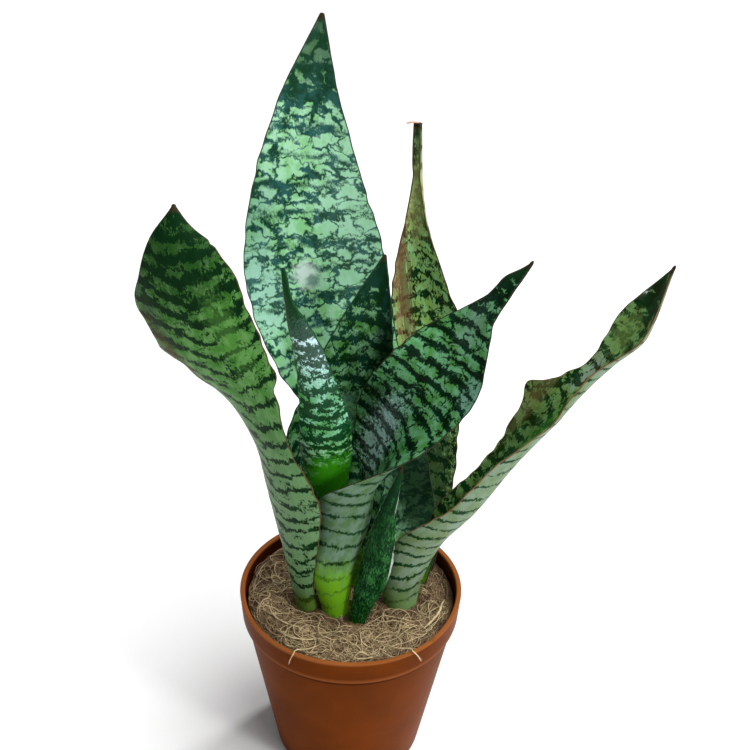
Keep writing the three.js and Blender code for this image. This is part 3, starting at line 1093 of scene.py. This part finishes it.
leafRear = {
    "spine": [
        [33, 24, 79], [36, 31, 121], [36, 37, 169], [32, 42, 220], [27, 47, 261], [25, 50, 289],
        [24, 52, 321],
    ],
    "left": [8, 12, 15, 16, 17, 13, 4.2, 2.6],
    "right": [8, 12, 15, 16, 18, 15.5, 6, 3.4],
    "faces": [265, 260, 250],
    "cup": [130, 100, 70, 60, 90, 160, 220],
    "ruffle": [[0.8, 2, 0.3], [0.8, 2, 0.8]],
    "thickness": 2.6,
    "point": 0.3,
    "nicks": [[0.64, 1, -2.2, 0.018], [0.6, -1, -1.5, 0.05], [0.9, -1, 0.8, 0.03]],
    "skin": {
        "innerLight": "#b0e8a0",
        "innerDeep": "#a2ce6c",
        "innerBand": "#123e1e",
        "innerBandDeep": "#1c3a16",
        "innerBands": (9.5, 0.27, 10, 12, (0.2, 0.35), 1.6, 0.85),
        "tip": ("#2c5030", 8),
        "crowd": (60, 40, 0.1),
        "zones": [
            ("streak", "#b49068", 0.75, -11, 182, 5, 50, 0.9),
            ("streak", "#5a3c22", 0.6, -8, 170, 3.5, 46, 1.0),
            ("streak", "#b4b274", 0.6, 0, 210, 8, 26, 0.5),
            # painted shade over the lower blade, which stands behind other leaves
            ("tintAndShade", "#0e3218", 0.85, 0, 62, 22, 62, 0.4),
        ],
    },
}

leafRight = {
    "spine": [
        [27, -7, 79], [32, -6, 108], [43, -4, 133], [61, -3, 160], [77, -1, 185], [94, 1, 209],
        [110, 5, 229], [125, 8, 249], [135, 10, 274],
    ],
    "left": [3.5, 10.5, 16, 13.5, 15.5, 19, 7, 11.5, 0.8],
    "right": [11.5, 19, 24, 23.5, 20.5, 15, 14.5, 16.5, 0.8],
    "faces": [115, 149, 181, 180, 187, 199, 195],
    "cup": [140, 168, 112, 111, 72],
    "ruffle": [[0.8, 3, 0.3], [0.8, 3, 0.8]],
    "thickness": 3,
    "point": 2.4,
    "nicks": [
        [0.87, 1, -2.5, 0.025], [0.8, 1, 1.5, 0.02], [0.63, -1, -3.2, 0.02], [0.575, -1, 1.4, 0.02],
        [0.68, -1, 1, 0.02],
    ],
    "skin": {
        "innerLight": "#86b870",
        "innerDeep": "#76944a",
        "innerBand": "#12401c",
        "innerBandDeep": "#1c2c0a",
        "innerBands": (9.5, 0.36, 9, 12, (0.1, 0.1), 1.7, 0.85),
        "outerLight": "#869c86",
        "outerDeep": "#708a5c",
        "outerBand": "#1c4424",
        "outerBandDeep": "#183c14",
        "outerBands": (8, 0.2, 5, 7, (0.2, 0.5), 1.0, 0.15),
        "foot": ("#80a860", 8),
        "tip": ("#1c4a20", 2),
        "line": ("#7a5c40", 0.3),
        "zones": [
            # painted highlight near the tip
            ("paintedSheen", "#f4f6f0", 0.9, -8, 213, 3.4, 7, 0.3),
            ("streak", "#8c8450", 0.45, -15, 140, 5, 34, 0.5),
            ("inside", "#123c14", 0.45, -4, 100, 12, 56, 0.4),
            ("inside", "#2f9a20", 0.75, 6, 96, 9, 66, 0.3),
            # painted highlight
            ("paintedGloss", "#a8bcb0", 0.6, -2, 168, 5, 14, 0.6),
            ("tintAndShade", "#8ab060", 0.4, -2, 192, 9, 14, 0.4),
        ],
    },
}

leafSmall = {
    "spine": [[0, -20, 79], [5, -20, 100], [11, -18, 120], [16, -15, 150], [22, -12, 180]],
    "left": [3.5, 6, 9, 7, 4, 0.6],
    "right": [3.5, 6, 9, 7, 4, 0.6],
    "faces": [70, 90, 110],
    "cup": [150, 110, 90],
    "ruffle": [[0.3, 2, 0.3], [0.3, 2, 0.8]],
    "thickness": 2.4,
    "skin": {
        "outerLight": "#3c7a3e",
        "outerDeep": "#1a5420",
        "outerBand": "#08341a",
        "outerBandDeep": "#03260a",
        "outerBands": (7, 0.62, 30, 6, (0.5, 0.5), 1.5, 0.3),
        "cloud": (3, 12),
        "foot": ("#2c6a12", 0),
        "tip": ("#083c18", 4),
        "line": ("#5c7456", 0.25),
        "rough": 0.25,
        "zones": [
            ("streak", "#d8e6dc", 0.8, -7.5, 50, 0.9, 10, 0.7),
            ("streak", "#c2d2c6", 0.6, -3, 84, 0.7, 8, 0.7),
            ("tintAndShade", "#0a3014", 0.5, 3, 76, 6, 22, 0.5),
        ],
    },
}

leaves = {
    "leaf_tall": leafTall,
    "leaf_left": leafLeft,
    "leaf_young": leafYoung,
    "leaf_centre": leafCentre,
    "leaf_front": leafFront,
    "leaf_rear": leafRear,
    "leaf_right": leafRight,
    "leaf_small": leafSmall,
}

feet = []
for order, (leafName, leafPlan) in enumerate(leaves.items()):
    feet.append(makeLeaf(leafName, leafPlan, 1.7 + 2.3 * order).reshape(-1, 3))
feet = np.concatenate(feet)
feet = feet[(feet[:, 2] > 86) & (feet[:, 2] < 99)]  # only what stands about the soil's height
print("stage: leaves made")

mix = {
    "top": 92,
    "radius": 52.0,
    "floor": 2.5,
    "lumps": 0.9,
    "slope": 0.022,
    "clods": 1.1,
    "crumbs": 0.55,
    "rings": 150,
    "sides": 300,
    "dark": "#46301c",
    "brown": "#6f5538",
    "pale": "#7e6848",
}


def mixHeight(x, y):
    lumps = np.sin(0.21 * x + 1.1) * np.cos(0.19 * y - 0.4)
    lumps = lumps + 0.6 * np.sin(0.34 * x - 0.27 * y + 2) * np.cos(0.12 * x + 0.3 * y)
    return mix["top"] + mix["lumps"] * lumps - mix["slope"] * (x + y)


def relief(x, y):
    clods = noise.fractal(Vector((x * 0.13, y * 0.13, 3.1)), 1.0, 2.1, 4)
    crumbs = noise.fractal(Vector((x * 0.7, y * 0.7, 8.2)), 0.9, 2.2, 3)
    return mix["clods"] * clods + mix["crumbs"] * crumbs


def coirMaterial(name, low, middle, high):
    material, tree, shader = newMaterial(name)
    where = objectPlace(tree)
    tone = useGroup(tree, mottle, {"Vector": where, "Size": 11, "Grain": 0.9, "Seed": 2.2})
    crumbs = useGroup(tree, speckles, {"Vector": where, "Size": 1.4, "Amount": 0.45, "Seed": 0.8})
    body = blendColour(tree, tone["Tone"], low, middle)
    body = tinted(tree, body, crumbs["Speckles"], 0.55, high)
    # painted shade: darker where the fine relief dips
    body = blendColour(tree, ease(tree, tone["Grain"], 0.5, 0.25), body, low)
    rough = plus(tree, times(tree, tone["Grain"], 0.2), 0.78)
    wireSkin(tree, shader, body, rough, tone["Grain"], 0.8, 0.8)
    return material


def makeMix():
    sides, radius = mix["sides"], mix["radius"]
    turn = np.linspace(0, 2 * np.pi, sides, endpoint=False)
    points = []
    for reach in np.linspace(0.35, radius - 0.9, mix["rings"]):
        x, y = reach * np.cos(turn), reach * np.sin(turn)
        lift = np.array([relief(a, b) for a, b in zip(x, y)])
        points.append(np.stack([x, y, mixHeight(x, y) + lift], 1))
    # the plug's side, which the pot hides
    for reach, height in ((radius - 0.3, 90.2), (radius - 0.5, 86.5), (50.4, 84), (36, mix["floor"])):
        points.append(np.stack([reach * np.cos(turn), reach * np.sin(turn), 0 * turn + height], 1))
    faces = closedFaces(len(points), sides, flip=True)
    material = coirMaterial("coirMix", mix["dark"], mix["brown"], mix["pale"])
    piece = newPiece("coir_bed", np.concatenate(points), faces, material)
    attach(piece, "root")
    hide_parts("potting_mix")


makeMix()
print("stage: mix made")

fibres = {
    "spread": 50,  # how far from the middle they start
    "wall": 51.2,  # none reaches further out than this
    "footGap": 1.3,  # nor comes nearer to a leaf
    "frontArc": 0.75,  # how wide the thick drift at the front is, and how deep
    "frontDepth": 12,
    "curl": 0.34,
    "wander": 0.22,
    "brown": ("#5c452d", "#a58a63"),
    "pale": ("#9a8058", "#d6c296"),
    "fine": {"count": 2600, "steps": 8, "reach": 17, "lift": 1.8, "thick": 0.16, "frontShare": 0.3},
    "long": {"count": 700, "steps": 10, "reach": 26, "lift": 3.2, "thick": 0.17, "frontShare": 0.6},
}


def fibreMaterial(name, dark, light):
    material, tree, shader = newMaterial(name)
    tone = attribute(tree, "strandTone")
    inputs = {"Vector": objectPlace(tree), "Size": 5, "Grain": 0.6, "Seed": 4.4}
    patchy = useGroup(tree, mottle, inputs)
    mixed = plus(tree, times(tree, patchy["Tone"], 0.35), times(tree, tone, 0.75))
    body = blendColour(tree, calc(tree, "MINIMUM", mixed, 1.0), dark, light)
    rough = plus(tree, times(tree, patchy["Grain"], 0.3), 0.5)
    wireSkin(tree, shader, body, rough, patchy["Grain"], 0.5, 0.2)
    return material


def scatterFibres(count, steps, reach, lift, thick, frontShare):
    # curling fibres that lie on the mix and keep off the leaf feet
    kept = []
    while len(kept) < count:
        distance = fibres["spread"] * math.sqrt(chance.random())
        angle = chance.random() * 2 * math.pi
        if chance.random() < frontShare:
            angle = -math.pi / 2 + chance.normal() * fibres["frontArc"]
            distance = fibres["spread"] - abs(chance.normal()) * fibres["frontDepth"]
        spot = np.array([distance * math.cos(angle), distance * math.sin(angle)])
        heading = chance.random() * 2 * math.pi
        curl = chance.normal() * fibres["curl"]
        length = reach * (0.35 + chance.random())
        hop = length / (steps - 1)
        rise = lift * chance.random() ** 2
        path = []
        for k in range(steps):
            t = k / (steps - 1)
            x, y = spot
            sink = 0.35 - 1.1 * (2 * t - 1) ** 4
            path.append([x, y, mixHeight(x, y) + relief(x, y) + sink + rise * math.sin(math.pi * t)])
            heading += curl + chance.normal() * fibres["wander"]
            spot = spot + hop * np.array([math.cos(heading), math.sin(heading)])
        path = np.array(path)
        if np.hypot(path[:, 0], path[:, 1]).max() > fibres["wall"]:
            continue
        gap = np.hypot(feet[:, 0] - path[:, 0, None], feet[:, 1] - path[:, 1, None]).min()
        if gap < fibres["footGap"]:
            continue
        kept.append(path)
    taper = 1 - 0.6 * np.abs(np.linspace(-1, 1, steps)) ** 3
    radii = thick * (0.5 + chance.random((count, 1))) * taper
    tone = np.repeat(chance.random((count, 1)), steps, 1)
    return np.array(kept), radii, tone


def makeFibres(name, paths, radii, tone, sides, material, slot):
    points, faces = tubes(paths, radii, sides)
    values = {"strandTone": np.repeat(tone.reshape(-1), sides)}
    piece = newPiece(name, points, faces, material, values=values)
    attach(piece, "root")
    return piece


brownFibre = fibreMaterial("brownFibre", *fibres["brown"])
paleFibre = fibreMaterial("paleFibre", *fibres["pale"])
makeFibres("coir_fibres", *scatterFibres(**fibres["fine"]), 4, brownFibre, "coir_strand")
makeFibres("coir_pale_fibres", *scatterFibres(**fibres["long"]), 4, paleFibre, "pale_strand")

# the loose strands: each lies on the mix, and the third number lifts it off the mix
strands = {
    "strand_front": {"radius": 0.42, "path": [[-4, -43, 0], [6, -46, 0.6], [17, -44, 0]]},
    "strand_left": {
        "radius": 0.38,
        "path": [[-42, -8, 0], [-36, -22, 1.4], [-26, -28, 0.4], [-14, -31, 0]],
    },
    "strand_curl": {
        "radius": 0.34,
        "path": [[-36, -28, 0], [-27, -36, 1.2], [-16, -35, 0.8], [-9, -30, 0]],
    },
    "strand_right": {"radius": 0.6, "path": [[36, -24, 0], [43, -16, 1.5], [46, -6, 2.6]]},
    "strand_back": {"radius": 0.34, "path": [[-36, 16, 0], [-26, 27, 1], [-12, 31, 0]]},
}
# these two hang over the lip: compass directions of the start, the lip and the end
rimStrands = {
    "strand_over_rim_right": {"radius": 0.34, "from": -66, "turn": -56, "to": -52},
    "strand_over_rim_left": {"radius": 0.3, "from": -108, "turn": -117, "to": -119},
}


def makeStrand(name, knots, radius, steps=40):
    path = smoothPath(knots, steps)[0]
    t = np.linspace(0, 1, steps)
    for i in range(steps):
        for axis in range(3):
            spot = Vector((t[i] * 9, axis * 5.0, radius * 40))
            path[i, axis] += 0.22 * noise.noise(spot)
    radii = radius * (1 - 0.65 * np.abs(2 * t - 1) ** 3) * (1 + 0.12 * np.sin(37 * t))
    paths, allRadii = [path], [radii]
    # two thin splinters split off near the ends
    for start, spread in ((0.62, 1), (0.3, -1)):
        part = path.copy()
        away = np.clip((t - start) * spread, 0, None)
        part[:, 2] += away * 5 * radius
        part[:, 0] += away * 3.2 * radius
        paths.append(part)
        allRadii.append(radii * 0.32)
    tone = np.full((len(paths), steps), 0.75)
    paths, allRadii = np.array(paths), np.array(allRadii)
    piece = makeFibres(name + "_fibre", paths, allRadii, tone, 8, paleFibre, "pale_strand")
    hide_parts(name)


def polar(distance, heading, height):
    turn = math.radians(heading)
    return [distance * math.cos(turn), distance * math.sin(turn), height]


for strandName, plan in strands.items():
    knots = [[x, y, mixHeight(x, y) + plan["radius"] + 0.9 + lift] for x, y, lift in plan["path"]]
    makeStrand(strandName, knots, plan["radius"])
for strandName, plan in rimStrands.items():
    lift = plan["radius"] + 0.5
    start, turn, end = plan["from"], plan["turn"], plan["to"]
    knots = [
        polar(40.6, start, 94.2 + lift),
        polar(47.6, (start + turn) / 2, 96.5 + lift),
        polar(52.6, turn, 98.3 + lift),
        polar(55, turn, 98.2 + lift),
        polar(55.6 + lift, (turn + end) / 2, 96),
        polar(55.6 + lift, end, 92),
    ]
    makeStrand(strandName, knots, plan["radius"])
print("stage: fibres made")

dryScale = {
    "spine": [[-4.8, -20, 84], [-4.6, -20.2, 90], [-4.2, -20.8, 97]],
    "left": [1.5, 1.7, 1.4, 0.5],
    "right": [1.5, 1.7, 1.4, 0.5],
    "faces": [95, 95],
    "cup": [50, 70],
    "ruffle": [[0.3, 2, 0], [0.3, 3, 0.4]],
    "thickness": 1.1,
    "dark": "#6b5844",
    "light": "#a8957c",
}

dryHook = {
    "path": [[26, 51, 320.8], [23.8, 51, 321.3], [21.2, 50.8, 321.55], [18.6, 50.4, 321]],
    "radius": 0.75,
    "pressed": 0.45,  # how much of its height is left
    "dark": "#a8705a",
    "light": "#e0b6a0",
}

rhizomeSkin = {
    "dark": "#8a5a2c",
    "light": "#cf9a58",
}


def dryMaterial(name, plan):
    material, tree, shader = newMaterial(name)
    inputs = {"Vector": objectPlace(tree), "Size": 4, "Grain": 0.5, "Seed": 6.2}
    tone = useGroup(tree, mottle, inputs)
    body = blendColour(tree, tone["Tone"], plan["dark"], plan["light"])
    rough = plus(tree, times(tree, tone["Grain"], 0.3), 0.6)
    wireSkin(tree, shader, body, rough, tone["Grain"], 0.6, 0.4)
    return material


def makeDryScale(steps=40):
    u = np.linspace(0, 1, steps)
    dryScale["path"] = smoothPath(dryScale["spine"], steps)
    flat = np.linspace(-1, 1, 13)
    base = np.concatenate([flat, flat[::-1]])
    face = np.concatenate([1 + 0 * flat, -1 + 0 * flat])
    middle = dryScale["thickness"] / 2
    thick = middle * (1 - 0.7 * np.abs(base) ** 2)[None] * (1 - 0.5 * u[:, None])
    points = leafPoints(dryScale, u, np.repeat(base[None], steps, 0), face[None] * thick)
    faces = closedFaces(steps, len(base), flip=True)
    piece = newPiece("dry_scale_husk", points.reshape(-1, 3), faces, dryMaterial("dryHusk", dryScale))
    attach(piece, "root")
    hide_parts("dry_scale")


def makeDryHook(steps=24, sides=10):
    # the dried, peeled lip across the flat top of the rear leaf
    path = smoothPath(dryHook["path"], steps)[0]
    t = np.linspace(0, 1, steps)
    radii = dryHook["radius"] * (0.35 + 0.65 * np.sin(np.pi * np.clip(1.15 - t, 0, 1)) ** 0.6)
    points, faces = tubes(path[None], radii[None], sides)
    middle = np.repeat(path, sides, 0)
    points[:, 2] = middle[:, 2] + dryHook["pressed"] * (points[:, 2] - middle[:, 2])
    piece = newPiece("leaf_rear_hook", points, faces, dryMaterial("dryLip", dryHook))
    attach(piece, "root")


makeDryScale()
makeDryHook()
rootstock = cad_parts["rhizome"]
rootstock.data.materials.clear()
rootstock.data.materials.append(dryMaterial("rhizomeSkin", rhizomeSkin))
print("stage: scale and rhizome made")

ground = {
    "size": 7000,
    "colours": ("#f3f3f2", "#f6f6f5"),
    "rough": 0.85,
}


def makeFloor():
    material, tree, shader = newMaterial("paleFloor")
    inputs = {"Vector": objectPlace(tree), "Size": 400, "Grain": 2, "Seed": 0.0}
    tone = useGroup(tree, mottle, inputs)
    tree.links.new(blendColour(tree, tone["Tone"], *ground["colours"]), shader.inputs["Base Color"])
    shader.inputs["Roughness"].default_value = ground["rough"]
    half = ground["size"] / 2
    corners = [[-half, -half, 0], [half, -half, 0], [half, half, 0], [-half, half, 0]]
    floor = newPiece("floor", corners, [(0, 1, 2, 3)], material, smooth=False)


makeFloor()
print("stage: floor made")
